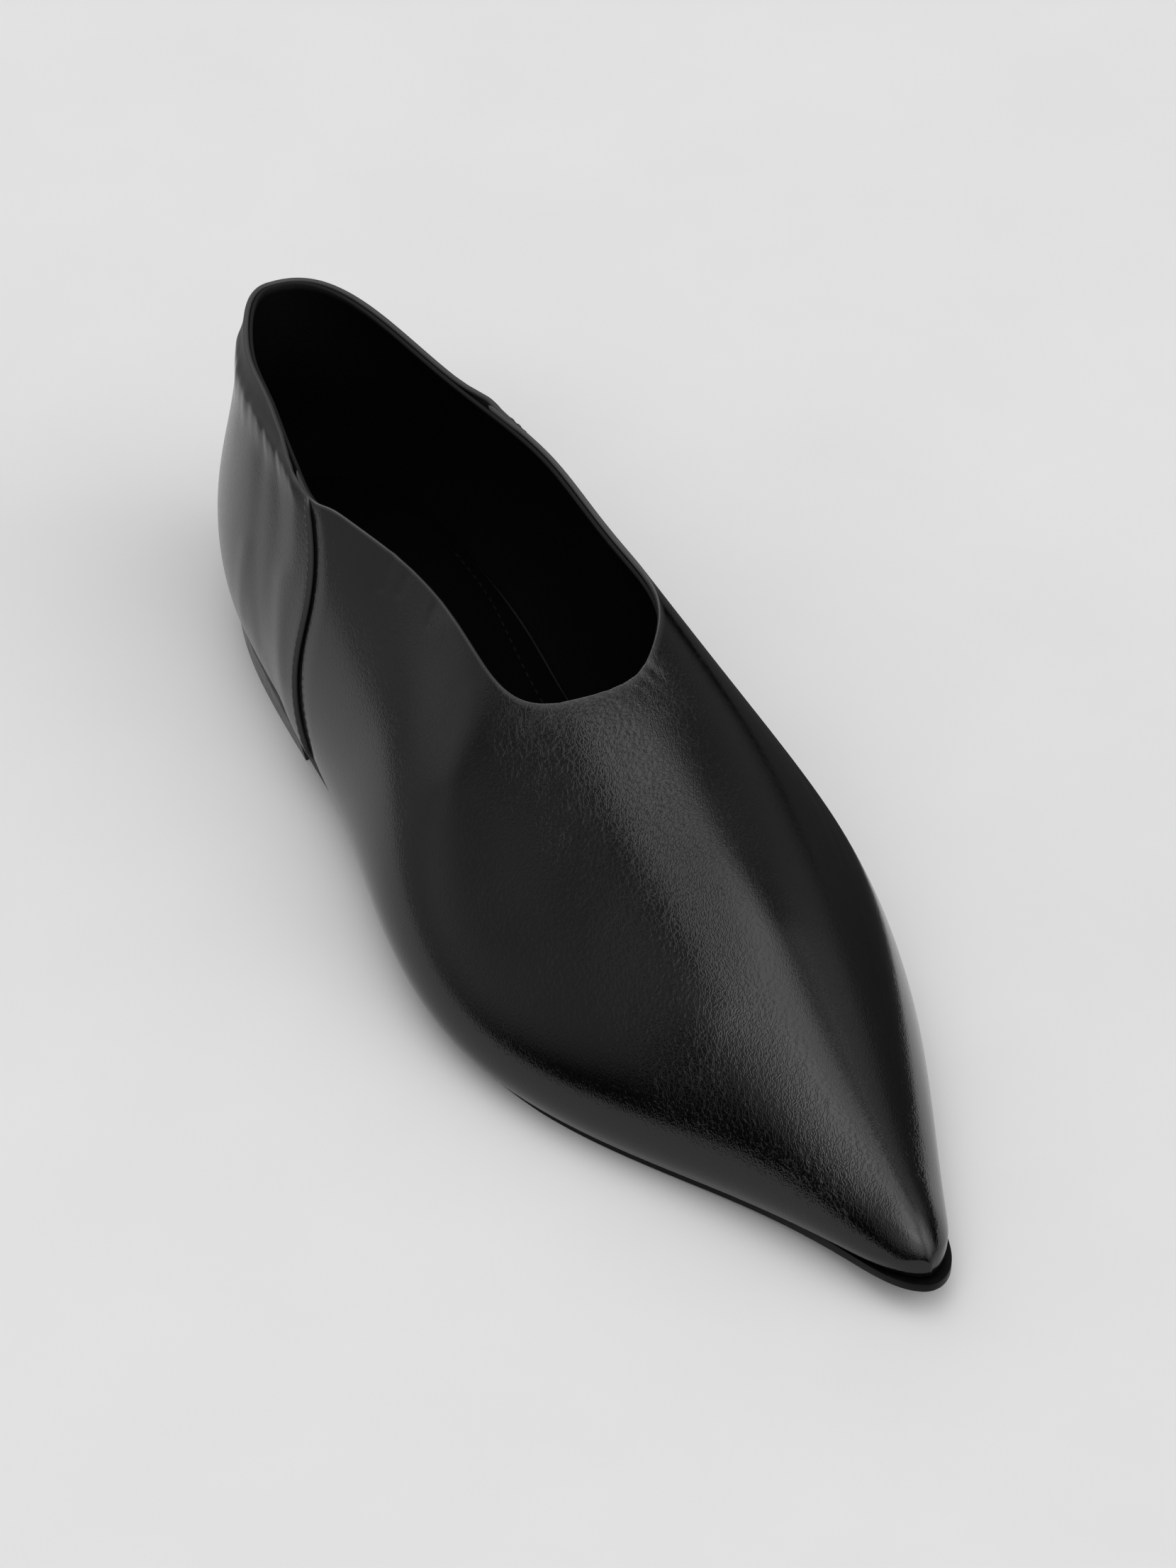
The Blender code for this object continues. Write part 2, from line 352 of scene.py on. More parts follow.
    def outline(self, turn: Array, side: int, grow: Array) -> Array:
        """Plan outline of the feather line on one side.

        Args:
            turn: turn along the shoe.
            side: -1 for the outer side, 1 for the inner.
            grow: how far the outline moves outward.

        Returns:
            The outline's x and y in millimetres.
        """
        name = "outer" if side < 0 else "inner"
        nudge = 1e-4
        along_x = LENGTH / 2 * np.sin(turn)
        along_y = side * (self.of[name](turn + nudge) - self.of[name](turn - nudge)) / (2 * nudge)
        size = np.hypot(along_x, along_y)
        x = x_of(turn) - side * grow * along_y / size
        y = side * self.of[name](turn) + side * grow * along_x / size
        return np.stack([x, y], -1)

    def seat(self, x: Array) -> Array:
        """Height of the feather line at a place x."""
        return self.of["seat"](turn_of(np.clip(x, 0, LENGTH)))


def linear(hex_colour: str) -> tuple[float, float, float, float]:
    """Turn an sRGB hex colour to linear.

    Args:
        hex_colour: the colour, with its hash sign.

    Returns:
        The linear colour with full alpha.
    """
    parts = [int(hex_colour[i:i + 2], 16) / 255 for i in (1, 3, 5)]
    made = [c / 12.92 if c <= 0.04045 else ((c + 0.055) / 1.055) ** 2.4 for c in parts]
    return made[0], made[1], made[2], 1.0


def add(tree: bpy.types.NodeTree, kind: str, inputs: dict[Any, Any] | None = None,
        **settings: Any) -> bpy.types.Node:
    """Add a node.

    Args:
        tree: the node tree that takes it.
        kind: the node's type name.
        inputs: values or sockets by input name or number.
        settings: the node's own options.

    Returns:
        The node.
    """
    made = tree.nodes.new(kind)
    for key, value in settings.items():
        setattr(made, key, value)
    for key, value in (inputs or {}).items():
        if isinstance(value, bpy.types.NodeSocket):
            tree.links.new(value, made.inputs[key])
        else:
            made.inputs[key].default_value = value
    return made


def new_material(name: str) -> tuple[bpy.types.Material, bpy.types.NodeTree, bpy.types.Node]:
    """Material with an empty Principled shader.

    Args:
        name: the material's name.

    Returns:
        The material, its node tree and its shader.
    """
    made = bpy.data.materials.new(name)
    made.use_nodes = True
    tree = made.node_tree
    return made, tree, tree.nodes["Principled BSDF"]


@dataclass(frozen=True)
class Leather:
    """Chrome-tanned leather with a fine drawn grain, its sizes in millimetres.

    Aniline-dyed and lightly sealed, so the eye gets a soft sheen broken up by small wrinkles that
    lie along the hide's stretch, a little flatter and shinier on the ridges than in the valleys.
    A marked leather reads its grain, its unpolished places and its rim from the mesh; along the rim its
    colour is mixed towards the edge colour, a painted highlight.
    """

    name: str
    dark: str
    light: str
    rough: float
    grain_width: float
    grain_long: float
    grain_depth: float
    grain_turn: float = -30.0
    sway_size: float = 5.0
    sway: float = 1.2
    patch: float = 18.0
    ior: float = 1.5
    shine: float = 0.5
    raw_rough: float = 0.85
    # Painted highlight: the colour that a marked leather is mixed towards along its rim
    edge: str = "#404040"
    marked: bool = False

    def make(self) -> bpy.types.Material:
        """Build the material."""
        made, tree, shader = new_material(self.name)
        place = add(tree, "ShaderNodeTexCoord").outputs["Object"]
        stretch = self.grain_long / self.grain_width
        laid = add(tree, "ShaderNodeMapping", {
            "Vector": place, "Rotation": (0, 0, math.radians(self.grain_turn)),
            "Scale": (stretch, 1, 1)}, vector_type="TEXTURE").outputs[0]
        sway = add(tree, "ShaderNodeTexNoise", {
            "Vector": place, "Scale": 1 / (self.sway_size * MM), "Detail": 1.0}).outputs["Color"]
        centred = add(tree, "ShaderNodeVectorMath", {0: sway, 1: (0.5, 0.5, 0.5)},
                      operation="SUBTRACT").outputs[0]
        bent = add(tree, "ShaderNodeVectorMath", {
            0: centred, 1: (self.sway * MM,) * 3, 2: laid},
            operation="MULTIPLY_ADD").outputs[0]
        wrinkles = add(tree, "ShaderNodeTexWave", {
            "Vector": bent, "Scale": WAVE_BAND / (self.grain_width * MM), "Distortion": 10.0, "Detail": 1.0,
            "Detail Scale": 2.4, "Detail Roughness": 0.4}, bands_direction="Y").outputs["Fac"]
        fine = add(tree, "ShaderNodeTexNoise", {
            "Vector": bent, "Scale": 1.2 / (self.grain_width * MM), "Detail": 1.0}).outputs["Fac"]
        relief = add(tree, "ShaderNodeMath", {0: fine, 1: 0.9, 2: wrinkles},
                     operation="MULTIPLY_ADD").outputs[0]
        patches = add(tree, "ShaderNodeTexNoise", {
            "Vector": place, "Scale": 1 / (self.patch * MM), "Detail": 2.0}).outputs["Fac"]
        shown = add(tree, "ShaderNodeMapRange", {
            "Value": patches, "From Min": 0.3, "From Max": 0.7, "To Min": 0.7, "To Max": 1.2}).outputs[0]
        tint = add(tree, "ShaderNodeMix", {
            "Factor": patches, 6: linear(self.dark), 7: linear(self.light)}, data_type="RGBA").outputs[2]
        if self.marked:
            drawn = add(tree, "ShaderNodeAttribute", attribute_name="grain").outputs["Fac"]
            shown = add(tree, "ShaderNodeMath", {0: drawn, 1: shown}, operation="MULTIPLY").outputs[0]
            # Painted highlight along the topline's rim, mixed into the colour
            rim = add(tree, "ShaderNodeAttribute", attribute_name="rim").outputs["Fac"]
            tint = add(tree, "ShaderNodeMix", {"Factor": rim, 6: tint, 7: linear(self.edge)},
                       data_type="RGBA").outputs[2]
        height = add(tree, "ShaderNodeMath", {0: relief, 1: shown}, operation="MULTIPLY").outputs[0]
        bump = add(tree, "ShaderNodeBump", {
            "Height": height, "Strength": 1.0, "Distance": self.grain_depth * MM})
        gloss = add(tree, "ShaderNodeMapRange", {
            "Value": relief, "From Min": 0.3, "From Max": 1.9,
            "To Min": self.rough + 0.04, "To Max": self.rough - 0.03}).outputs[0]
        if self.marked:
            matt = add(tree, "ShaderNodeAttribute", attribute_name="matt").outputs["Fac"]
            gloss = add(tree, "ShaderNodeMix", {"Factor": matt, 2: gloss, 3: self.raw_rough}).outputs[0]
        tree.links.new(tint, shader.inputs["Base Color"])
        tree.links.new(gloss, shader.inputs["Roughness"])
        tree.links.new(bump.outputs[0], shader.inputs["Normal"])
        shader.inputs["IOR"].default_value = self.ior
        shader.inputs["Specular IOR Level"].default_value = self.shine
        return made


@dataclass(frozen=True)
class Moulded:
    """An even finish with faint marks, as on lacquer, thread, paper and velvet, its sizes in millimetres."""

    name: str
    dark: str
    light: str
    rough: float
    mark: float
    mark_depth: float
    streak: float = 1.0
    shine: float = 0.5

    def make(self) -> bpy.types.Material:
        """Build the material."""
        made, tree, shader = new_material(self.name)
        place = add(tree, "ShaderNodeTexCoord").outputs["Object"]
        laid = add(tree, "ShaderNodeMapping", {"Vector": place, "Scale": (self.streak, self.streak, 1)},
                   vector_type="TEXTURE").outputs[0]
        marks = add(tree, "ShaderNodeTexNoise", {
            "Vector": laid, "Scale": 1 / (self.mark * MM), "Detail": 4.0, "Roughness": 0.6}).outputs["Fac"]
        tint = add(tree, "ShaderNodeValToRGB", {"Fac": marks})
        tint.color_ramp.elements[0].position = 0.3
        tint.color_ramp.elements[1].position = 0.75
        tint.color_ramp.elements[0].color = linear(self.dark)
        tint.color_ramp.elements[1].color = linear(self.light)
        gloss = add(tree, "ShaderNodeMapRange", {
            "Value": marks, "From Min": 0.3, "From Max": 0.7,
            "To Min": self.rough - 0.06, "To Max": self.rough + 0.08}).outputs[0]
        bump = add(tree, "ShaderNodeBump", {
            "Height": marks, "Strength": 1.0, "Distance": self.mark_depth * MM}).outputs[0]
        tree.links.new(tint.outputs["Color"], shader.inputs["Base Color"])
        tree.links.new(gloss, shader.inputs["Roughness"])
        tree.links.new(bump, shader.inputs["Normal"])
        shader.inputs["Specular IOR Level"].default_value = self.shine
        return made


# Glazed nappa: near black, a clear soft sheen, its grain drawn into short wavy wrinkles along the crest; its
# edge colour paints a highlight along the topline's rim
NAPPA = Leather("black_nappa_leather", "#030303", "#060606", rough=0.13, grain_width=0.58, grain_long=0.66,
                grain_depth=0.026, ior=1.46, edge="#303030", marked=True)
# The same hide pulled flat over the heel: brighter, broader reflections and hardly any grain; its edge colour
# paints a faint highlight along the rim
NAPPA_BACK = Leather("black_nappa_leather_back", "#040404", "#080808", rough=0.22, grain_width=0.6,
                     grain_long=0.7, grain_depth=0.012, ior=1.62, edge="#1c1c1c", marked=True)
# Unglazed lining: a dull black that swallows the light inside the shoe; its edge colour paints a faint
# highlight along its rim
LINING = Leather("black_lining_leather", "#040404", "#070707", rough=0.6, grain_width=1.6, grain_long=2.8,
                 grain_depth=0.05, shine=0.04, edge="#1c1c1c", marked=True)
# Brushed sock leather: the dullest black, with a soft coarse grain
SOCK = Leather("black_sock_leather", "#040404", "#070707", rough=0.8, grain_width=1.4, grain_long=2.2,
               grain_depth=0.03, shine=0.01)
# Twisted polyester: thin stitches, a little paler than the leather
THREAD = Moulded("black_polyester_thread", "#242424", "#303030", rough=0.4, mark=0.3, mark_depth=0.03)
# The same thread on the sock, its colour darkened to almost the leather's black as painted shade inside the
# shoe
SHADED_SOCK_THREAD = Moulded("black_sock_thread_painted_shade", "#080808", "#0e0e0e", rough=0.6, mark=0.3, mark_depth=0.03,
                      shine=0.08)
# Lacquered sole leather: at the edge a flat black line with faint streaks along the floor
SOLE = Moulded("black_lacquered_sole_leather", "#010101", "#020202", rough=0.45, mark=1.2, mark_depth=0.03,
               streak=3.0, shine=0.15)
# Lacquered heel: an even satin black with faint rub marks
HEEL = Moulded("black_lacquered_heel", "#090909", "#0f0f0f", rough=0.34, mark=3.0, mark_depth=0.03)
# Velvet on the flag: a dark grey without gloss
VELVET = Moulded("black_flag_velvet", "#484848", "#4c4c4c", rough=0.9, mark=2.0, mark_depth=0.01)
# Uncoated background paper: pale and matt, with the faintest clouds
PAPER = Moulded("pale_studio_paper", "#cacaca", "#cdcdcd", rough=0.8, mark=60.0, mark_depth=0.02)


@dataclass(frozen=True)
class Crease:
    """A soft trough or ridge in the leather along a short line, in millimetres."""

    line: tuple[tuple[float, float, float], ...]
    width: float
    rise: float

    def lift(self, points: Array) -> Array:
        """How far the crease lifts or sinks the leather.

        Args:
            points: places on the leather, in millimetres.

        Returns:
            The lift at each of them.
        """
        near = np.full(points.shape[:-1], 1e9)
        for start, end in zip(self.line, self.line[1:]):
            a = np.asarray(start, float)
            run = np.asarray(end, float) - a
            t = np.clip((points - a) @ run / (run @ run), 0, 1)
            near = np.minimum(near, np.linalg.norm(points - a - t[..., None] * run, axis=-1))
        return self.rise * hump(near, self.width)


CREST_RIDGE = ((150, -6, 50.1), (180.8, -10.9, 40), (209.3, -13.7, 31.9), (227.9, -11.7, 25.1),
               (242.7, -7.7, 20), (255.6, -4.6, 15.2))
THROAT_WRINKLES = [
    Crease(((145.6, -3.9, 51.8), (149.4, -1.7, 51.5)), 0.75, -0.2),
    Crease(((145.2, -2.1, 52.5), (149.8, 0.4, 52)), 0.75, -0.22),
    Crease(((145.5, 0.7, 53.3), (149.8, 3.1, 52.7)), 0.75, -0.22),
    Crease(((145.9, 3.7, 53.9), (149, 5.8, 53.4)), 0.75, -0.22),
    Crease(((144.8, 6.7, 54.8), (148.6, 8.3, 53.9)), 0.75, -0.22),
    Crease(((142.8, 9, 55.7), (147.4, 10.5, 54.3)), 0.75, -0.2),
    Crease(((150.6, -2.8, 50.8), (151.3, 1.3, 51.8)), 0.8, -0.16),
    Crease(((139.9, -11.3, 50), (141.1, -14.3, 48.1)), 0.9, -0.14),
    Crease(((141.8, -7.9, 51.1), (144.1, -9.9, 49.6)), 0.9, -0.16),
]
WING_PUCKERS = [
    Crease(((87.2, -15.5, 52.6), (90.1, -19, 48.3)), 1.0, -0.16),
    Crease(((85.4, -17.9, 50), (88.2, -20.2, 46.8)), 1.0, -0.12),
    Crease(((93.7, -15.2, 52.3), (94.6, -17.8, 49.5)), 1.0, -0.1),
    Crease(((104.8, -14.8, 51.9), (106.4, -17.2, 49.6)), 1.0, -0.1),
]
VAMP_CREASES = [
    Crease(CREST_RIDGE, 9.0, 0.6),
    Crease(CREST_RIDGE[:3], 9.0, 0.8),
    Crease(((153.2, 3.2, 51.7), (167, 2.9, 48.1), (186.1, 1.7, 44.5), (204.8, 0.8, 40.5)), 7.0, 0.6),
    Crease(((112.4, -13.4, 52.9), (126.6, -15.3, 50.4), (133.5, -20.1, 46.1), (139.3, -28.3, 38.8)),
           5.0, 0.35),
    *THROAT_WRINKLES,
    *WING_PUCKERS,
]
QUARTER_CREASES = [
    Crease(((44.1, -28, 31.7), (46.7, -30.4, 19.1)), 3.0, 0.2),
    Crease(((38.9, -20.9, 48.1), (58.5, -31.6, 19.4)), 3.2, -0.2),
    Crease(((62.1, -27.5, 35), (72, -32.4, 21)), 3.0, 0.2),
]


def grid_normals(points: Array, closed: bool) -> Array:
    """Unit normals of a grid of points.

    Args:
        points: rows by columns by 3.
        closed: the first and last columns are the same line.

    Returns:
        The normals, on the left of the way along a row seen with the rows rising.
    """
    if closed:
        points = np.concatenate([points[:, -2:-1], points, points[:, 1:2]], 1)
    made = np.cross(np.gradient(points, axis=1), np.gradient(points, axis=0))
    if closed:
        made = made[:, 1:-1]
    size = np.linalg.norm(made, axis=-1, keepdims=True)
    return made / np.maximum(size, 1e-12)


def run_along(points: Array, axis: int) -> Array:
    """Distance run along the lines of a grid.

    Args:
        points: rows by columns by 3.
        axis: 1 to run along the rows, 0 along the columns.

    Returns:
        The distance from the first point of each line.
    """
    step = np.linalg.norm(np.diff(points, axis=axis), axis=-1)
    start = np.zeros_like(np.take(step, [0], axis=axis))
    return np.concatenate([start, np.cumsum(step, axis=axis)], axis=axis)


def mesh_object(bm: bmesh.types.BMesh, name: str, finish: bpy.types.Material) -> bpy.types.Object:
    """Link a new object into the scene.

    Args:
        bm: its mesh in metres, which is freed.
        name: its name.
        finish: its material.

    Returns:
        The object.
    """
    mesh = bpy.data.meshes.new(name)
    bm.to_mesh(mesh)
    bm.free()
    mesh.materials.append(finish)
    made = bpy.data.objects.new(name, mesh)
    bpy.context.scene.collection.objects.link(made)
    return made


def link_piece(bm: bmesh.types.BMesh, name: str, finish: bpy.types.Material, slot: str,
               *nodes: str) -> bpy.types.Object:
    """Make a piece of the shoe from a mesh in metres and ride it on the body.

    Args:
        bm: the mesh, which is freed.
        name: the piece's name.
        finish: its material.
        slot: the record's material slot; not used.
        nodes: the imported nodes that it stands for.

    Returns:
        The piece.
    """
    piece = mesh_object(bm, name, finish)
    piece.data.shade_smooth()
    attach(piece, BODY)
    if nodes:
        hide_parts(*nodes)
    return piece


def metres(points: Array) -> Array:
    """Points of the last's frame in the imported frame, in metres."""
    return (points - ORIGIN) * MM


@dataclass
class Sheet:
    """A closed leather sheet on the last: two faces that meet in round edges. Sizes in millimetres.

    The margin is the edge that is lasted in under the insole, under is how far it lies below the feather
    line, and notch is the share of the wall by which the topline dips at the outer seam.
    """

    last: Last
    name: str
    columns: int
    rows: int
    thick: float
    finish: Leather
    slot: str
    closed: bool = False
    edge_cells: int = 4
    margin: float = 7.0
    margin_share: float = 0.3
    room_ends: tuple[float, float] = (6.0, 260.0)
    under: float = 0.95
    bend: float = 1.7
    bend_share: float = 0.6
    bend_rows: int = 8
    flat_rows: int = 6
    flat_round: float = 0.09
    bend_top: float = 1.5
    notch: float = 0.045
    notch_reach: float = 0.03
    rim_wide: float = 0.35
    rim_fade: float = 0.4
    end_share: float = 0.004
    creases: list[Crease] = field(default_factory=list)
    skin: Array = field(init=False)
    normals: Array = field(init=False)

    def spread(self, count: int, near: Array, far: Array) -> Array:
        """Shares 0..1 of a grid line with a few short cells in the round at each end.

        Args:
            count: cells along the line.
            near: share that the round takes at the start.
            far: share that it takes at the end.

        Returns:
            The shares, one per grid point, on a new last axis.
        """
        cells = self.edge_cells
        turn = 1 - np.cos(np.pi / 2 * np.arange(cells + 1) / cells)
        near = np.asarray(near, float)[..., None]
        far = np.asarray(far, float)[..., None]
        middle = near + (1 - near - far) * np.linspace(0, 1, count - 2 * cells + 1)
        return np.concatenate([near * turn[:-1], middle, 1 - far * turn[-2::-1]], -1)

    def roundness(self, count: int) -> Array:
        """Share of the full thickness along a grid line, nothing at its ends.

        Args:
            count: cells along the line.

        Returns:
            The shares, one per grid point.
        """
        cells = self.edge_cells
        turn = np.sin(np.pi / 2 * np.arange(cells + 1) / cells)
        return np.concatenate([turn[:-1], np.ones(count - 2 * cells + 1), turn[-2::-1]])

    def spot(self, a: Array, b: Array) -> tuple[Array, Array, Array]:
        """Wall coordinates u, v and side for shares along and up the sheet."""
        raise NotImplementedError

    def relief(self, points: Array, u: Array, v: Array, side: Array) -> Array:
        """How far the sheet's outer face stands off the last at each point."""
        raise NotImplementedError

    def dip(self, u: Array, side: Array) -> Array:
        """Share of the wall by which the topline dips at the top of the outer seam."""
        away = u - self.last.seam[Side.OUTER](np.array(1.0))
        return np.where(side < 0, self.notch * hump(away, self.notch_reach), 0)

    def grain(self, points: Array) -> Array:
        """How strongly the grain is drawn at each point."""
        return np.ones(points.shape[:-1])

    def matt(self, points: Array) -> Array:
        """Where the surface is left unpolished."""
        return np.zeros(points.shape[:-1])

    def rim(self, points: Array) -> Array:
        """The fold along the topline, where the edge colour paints a highlight."""
        climb = run_along(points, 0)
        return 1 - ease((climb[-1:] - climb - self.rim_wide) / self.rim_fade)

    def turned_in(self, u: Array, side: Array, top: Array) -> Array:
        """The edge that is lasted in under the insole, from its end up to the wall.

        Args:
            u: share along the feather line, one per column.
            side: the wall, one per column.
            top: points on the wall where the turn ends.

        Returns:
            Rows of points, by columns by 3.
        """
        turn = np.pi * u
        feather = np.where((side < 0)[:, None], self.last.outline(turn, -1, 0 * turn),
                           self.last.outline(turn, 1, 0 * turn))
        inward = np.where((side < 0)[:, None], self.last.outline(turn, -1, 0 * turn - 1),
                          self.last.outline(turn, 1, 0 * turn - 1)) - feather
        x = np.clip(x_of(turn), *self.room_ends)
        room = np.where(side < 0, self.last.of["outer"](turn_of(x)), self.last.of["inner"](turn_of(x)))
        width = np.minimum(self.margin, self.margin_share * room)
        low = self.last.seat(x_of(turn)) - self.under

        def at(into: Array) -> Array:
            """Points on the underside, some way in from the feather line."""
            return np.column_stack([feather + inward * into[:, None], low])

        bend = np.minimum(self.bend, self.bend_share * width)
        flat = [at(width + (bend - width) * share) for share in self.flat_shares()]
        start, middle = at(bend), at(0 * bend)
        turns = np.linspace(0, 1, self.bend_rows + 1)[1:-1]
        curve = [(1 - t) ** 2 * start + 2 * t * (1 - t) * middle + t * t * top for t in turns]
        return np.stack([*flat, start, *curve])

    def flat_shares(self) -> Array:
        """Shares of the flat part of the turned edge, with its own round end."""
        ends = 1 - np.cos(np.pi / 2 * np.arange(self.edge_cells + 1) / self.edge_cells)
        rest = np.linspace(self.flat_round, 1, self.flat_rows + 1)[1:-1]
        return np.concatenate([self.flat_round * ends, rest])

    def face(self) -> tuple[Array, Array, Array, Array]:
        """Outer face of the sheet on the bare last.

        Returns:
            The points (rows by columns by 3), and u, v and side there.
        """
        a = np.linspace(0, 1, self.columns + 1)
        if not self.closed:
            a = self.spread(self.columns, self.end_share, self.end_share)
        probe = np.array([0, PROBE, 1 - PROBE, 1])
        ends = self.last.wall(*self.spot(*np.meshgrid(a, probe)))
        low = np.linalg.norm(ends[1] - ends[0], axis=-1) / PROBE
        high = np.linalg.norm(ends[3] - ends[2], axis=-1) / PROBE
        if not self.margin:
            b = self.spread(self.rows, self.thick / 2 / low, self.thick / 2 / high).T
            u, v, side = self.spot(np.broadcast_to(a, b.shape), b)
            return self.last.wall(u, v, side), u, v, side
        b = self.spread(self.rows, self.thick / 2 / low, self.thick / 2 / high)
        b = (self.bend_top / low)[:, None] + b * (1 - self.bend_top / low)[:, None]
        b = b[:, self.edge_cells:].T
        u, v, side = self.spot(np.broadcast_to(a, b.shape), b)
        wall = self.last.wall(u, v, side)
        foot = self.spot(a, 0 * a)
        under = self.turned_in(foot[0], foot[2], wall[0])
        points = np.concatenate([under, wall])
        grow = len(under)
        return (points, np.concatenate([np.repeat(foot[0][None], grow, 0), u]),
                np.concatenate([np.zeros((grow, len(a))), v]),
                np.concatenate([np.repeat(foot[2][None], grow, 0), side]))

    def build(self, *nodes: str) -> bpy.types.Object:
        """Lay the sheet on the last and give it its thickness.

        Args:
            nodes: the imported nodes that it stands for.

        Returns:
            The piece.
        """
        points, u, v, side = self.face()
        normals = grid_normals(points, self.closed)
        lift = self.relief(points, u, v, side) + sum(c.lift(points) for c in self.creases)
        self.skin = points + normals * lift[..., None]
        self.normals = grid_normals(self.skin, self.closed)
        rows = points.shape[0] - 1
        full = self.roundness(rows)[:, None]
        if not self.closed:
            full = full * self.roundness(self.columns)[None, :]
        half = self.thick / 2
        marks = {"grain": self.grain(points), "matt": self.matt(points), "rim": self.rim(points)}
        bm = bmesh.new()
        layers = {name: bm.verts.layers.float.new(name) for name in marks}
        for flesh, depth in ((0.0, half * (1 - full)), (1.0, half * (1 + full))):
            spots = metres(self.skin - self.normals * np.broadcast_to(depth, lift.shape)[..., None])
            made = bmesh.ops.create_grid(bm, x_segments=self.columns, y_segments=rows, size=0.5)["verts"]
            for vert in made:
                i = round((vert.co.y + 0.5) * rows)
                j = round((vert.co.x + 0.5) * self.columns)
                vert.co = spots[i, j]
                for name, layer in layers.items():
                    vert[layer] = marks[name][i, j]
                # The flesh side is left unpolished up to the rim
                vert[layers["matt"]] = max(marks["matt"][i, j], flesh * (1 - marks["rim"][i, j]))
        bmesh.ops.remove_doubles(bm, verts=bm.verts, dist=0.000004)
        bmesh.ops.dissolve_degenerate(bm, edges=bm.edges, dist=0.000001)
        bmesh.ops.recalc_face_normals(bm, faces=bm.faces)
        return link_piece(bm, self.name, self.finish.make(), self.slot, *nodes)


@dataclass
class Vamp(Sheet):
    """The front of the upper, from side seam round the toe to side seam, tucked under the quarter."""

    tuck: float = 0.03
    sunk: float = 0.25
    sunk_reach: float = 9.0
    sunk_at_rim: float = 0.45
    rim_reach: float = 5.0
    grain_plain: float = 0.3
    grain_crest: float = 0.7
    crest_reach: float = 15.0
    grain_throat: float = 0.5
    throat_reach: float = 14.0
    throat_corner: tuple[float, float, float] = (150.0, 4.0, 52.0)

    def spot(self, a: Array, b: Array) -> tuple[Array, Array, Array]:
        """Wall coordinates: from behind the outer seam (0) round the toe to the inner seam (1)."""
        side = np.where(a <= 0.5, -1.0, 1.0)
        seam = np.where(side < 0, self.last.seam[Side.OUTER](b), self.last.seam[Side.INNER](b))
        u = 1 - np.abs(2 * a - 1) * (1 - seam + self.tuck)
        return u, b * (1 - self.dip(u, side)), side

    def relief(self, points: Array, u: Array, v: Array, side: Array) -> Array:
        """Sink the ends under the quarter's edge."""
        seam = np.where(side < 0, self.last.seam[Side.OUTER](v), self.last.seam[Side.INNER](v))
        ahead = (u - seam) * np.pi * LENGTH / 2
        climb = run_along(points, 0)
        rim = self.sunk_at_rim + (1 - self.sunk_at_rim) * ease((climb[-1:] - climb) / self.rim_reach)
        return -self.sunk * rim * (1 - ease(ahead / self.sunk_reach))

    def grain(self, points: Array) -> Array:
        """Fine wrinkles gather along the crest, most at the inner front corner of the opening."""
        throat = np.linalg.norm(points - np.array(self.throat_corner), axis=-1)
        crest = Crease(CREST_RIDGE[:-1], self.crest_reach, self.grain_crest).lift(points)
        return self.grain_plain + crest + self.grain_throat * hump(throat, self.throat_reach)


